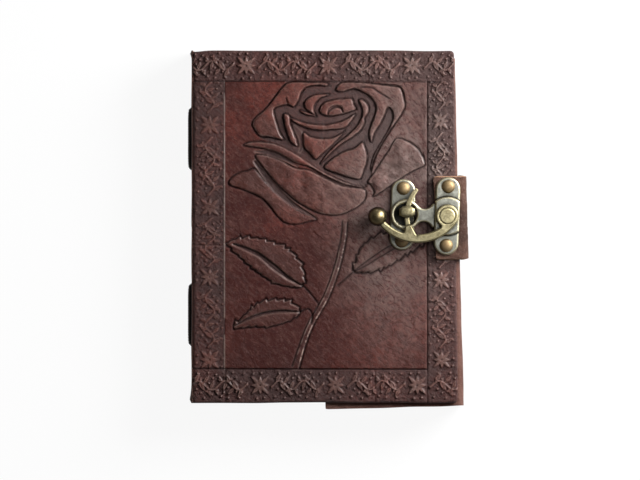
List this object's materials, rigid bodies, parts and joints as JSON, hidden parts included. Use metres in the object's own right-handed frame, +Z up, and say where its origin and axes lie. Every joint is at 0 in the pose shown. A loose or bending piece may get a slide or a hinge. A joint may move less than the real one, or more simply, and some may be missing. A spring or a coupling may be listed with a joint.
{
  "type": "leather journal with swing clasp",
  "caption": "Leather-bound journal with a tooled cover, a flap round the fore edge, sewn signatures and a strap whose ring drops over a staple and is locked by a swinging hook.",
  "frame": {"origin": "middle of the back cover's underside, on the surface that the journal lies on", "axes": "+X from the spine to the fore edge, +Y to the head, +Z up through the front cover"},
  "size_m": [0.1212, 0.1546, 0.036],
  "materials": {
    "cover_leather": "waxed",
    "strap_leather": "waxed",
    "antique_brass": "antique",
    "rivet_brass": "antique",
    "dark_bronze": "dark antique",
    "paper": "matte",
    "waxed_cord": "waxed"
  },
  "bodies": {
    "book": {"back_cover": "cover_leather", "spine": "cover_leather", "signature_1": "paper", "signature_2": "paper", "signature_3": "paper", "signature_4": "paper", "signature_5": "paper", "sewing_cord_1": "waxed_cord", "sewing_cord_2": "waxed_cord", "sewing_cord_3": "waxed_cord", "sewing_cord_4": "waxed_cord", "sewing_cord_5": "waxed_cord"},
    "front_cover": {"front_cover": "cover_leather", "staple_plate": "antique_brass", "staple": "antique_brass", "staple_rivets": "rivet_brass", "staple_rivet_backs": "rivet_brass"},
    "fore_edge": {"fore_edge_wall": "cover_leather", "inner_flap": "cover_leather", "strap_base": "strap_leather"},
    "strap": {"strap_end": "strap_leather", "hasp_plate": "antique_brass", "hasp_rivets": "rivet_brass", "hasp_rivet_backs": "rivet_brass", "hook_pivot": "antique_brass"},
    "hook": {"swing_hook": "antique_brass", "ball_knob": "dark_bronze"}
  },
  "joints": [
    {"name": "cover_open", "type": "hinge", "parent": "book", "child": "front_cover", "pos_m": [-0.05605, 0, 0.0241], "axis": [0, -1, 0], "range_deg": [0, 175]},
    {"name": "fore_edge_fold", "type": "hinge", "parent": "book", "child": "fore_edge", "pos_m": [0.0579, -0.00002, 0.0009], "axis": [-0.0262, 0.9997, 0], "range_deg": [0, 70]},
    {"name": "strap_lift", "type": "hinge", "parent": "fore_edge", "child": "strap", "pos_m": [0.0614, 0.00007, 0.0265], "axis": [-0.0262, 0.9997, 0], "range_deg": [0, 85]},
    {"name": "hook_swing", "type": "hinge", "parent": "strap", "child": "hook", "pos_m": [0.05335, 0.0046, 0.0319], "axis": [0, 0, 1], "range_deg": [0, 100]}
  ],
  "couplings": [
    {"joint": "fore_edge_fold", "follows": "cover_open", "ratio": 0.4}
  ]
}
